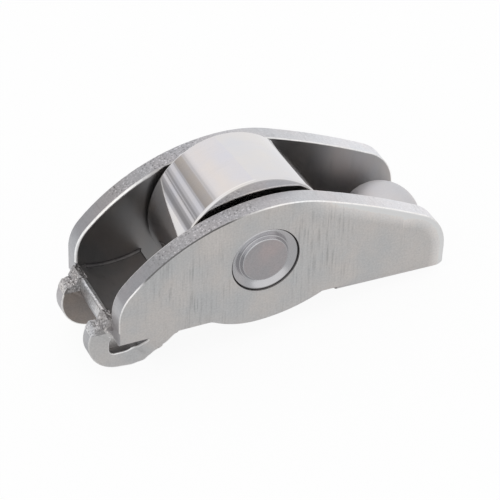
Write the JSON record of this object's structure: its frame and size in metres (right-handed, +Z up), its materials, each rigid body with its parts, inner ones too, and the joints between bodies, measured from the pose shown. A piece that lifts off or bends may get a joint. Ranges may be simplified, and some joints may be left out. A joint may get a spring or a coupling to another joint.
{
  "type": "rocker arm",
  "caption": "Pressed steel roller finger follower: channel-shaped arm with guide ears, domed ball socket and a needle-borne cam roller on a staked pin.",
  "frame": {"origin": "middle of the resting arm's bounding box, on the surface it rests on", "axes": "+X towards the ball socket's end, +Y across the arm towards its far wall, +Z up"},
  "size_m": [0.0434, 0.0154, 0.0193],
  "materials": {
    "pressed_steel": "case-hardened sheet, satin from tumbling",
    "pin_steel": "ground, with a staked end",
    "roller_steel": "ground and honed",
    "needle_steel": "ground and honed"
  },
  "bodies": {
    "rocker": {"arm": "pressed_steel", "axle_pin": "pin_steel"},
    "roller": {"roller": "roller_steel"},
    "needle_complement": {"needle_01": "needle_steel", "needle_02": "needle_steel", "needle_03": "needle_steel", "needle_04": "needle_steel", "needle_05": "needle_steel", "needle_06": "needle_steel", "needle_07": "needle_steel", "needle_08": "needle_steel", "needle_09": "needle_steel", "needle_10": "needle_steel", "needle_11": "needle_steel", "needle_12": "needle_steel", "needle_13": "needle_steel", "needle_14": "needle_steel", "needle_15": "needle_steel", "needle_16": "needle_steel", "needle_17": "needle_steel", "needle_18": "needle_steel"}
  },
  "joints": [
    {"name": "roller_spin", "type": "hinge", "parent": "rocker", "child": "roller", "pos_m": [-0.00081, 0, 0.01036], "axis": [0, 1, 0], "continuous": true},
    {"name": "needle_orbit", "type": "hinge", "parent": "rocker", "child": "needle_complement", "pos_m": [-0.00081, 0, 0.01036], "axis": [0, 1, 0], "continuous": true}
  ],
  "couplings": [
    {"joint": "needle_orbit", "follows": "roller_spin", "ratio": 0.58595}
  ]
}
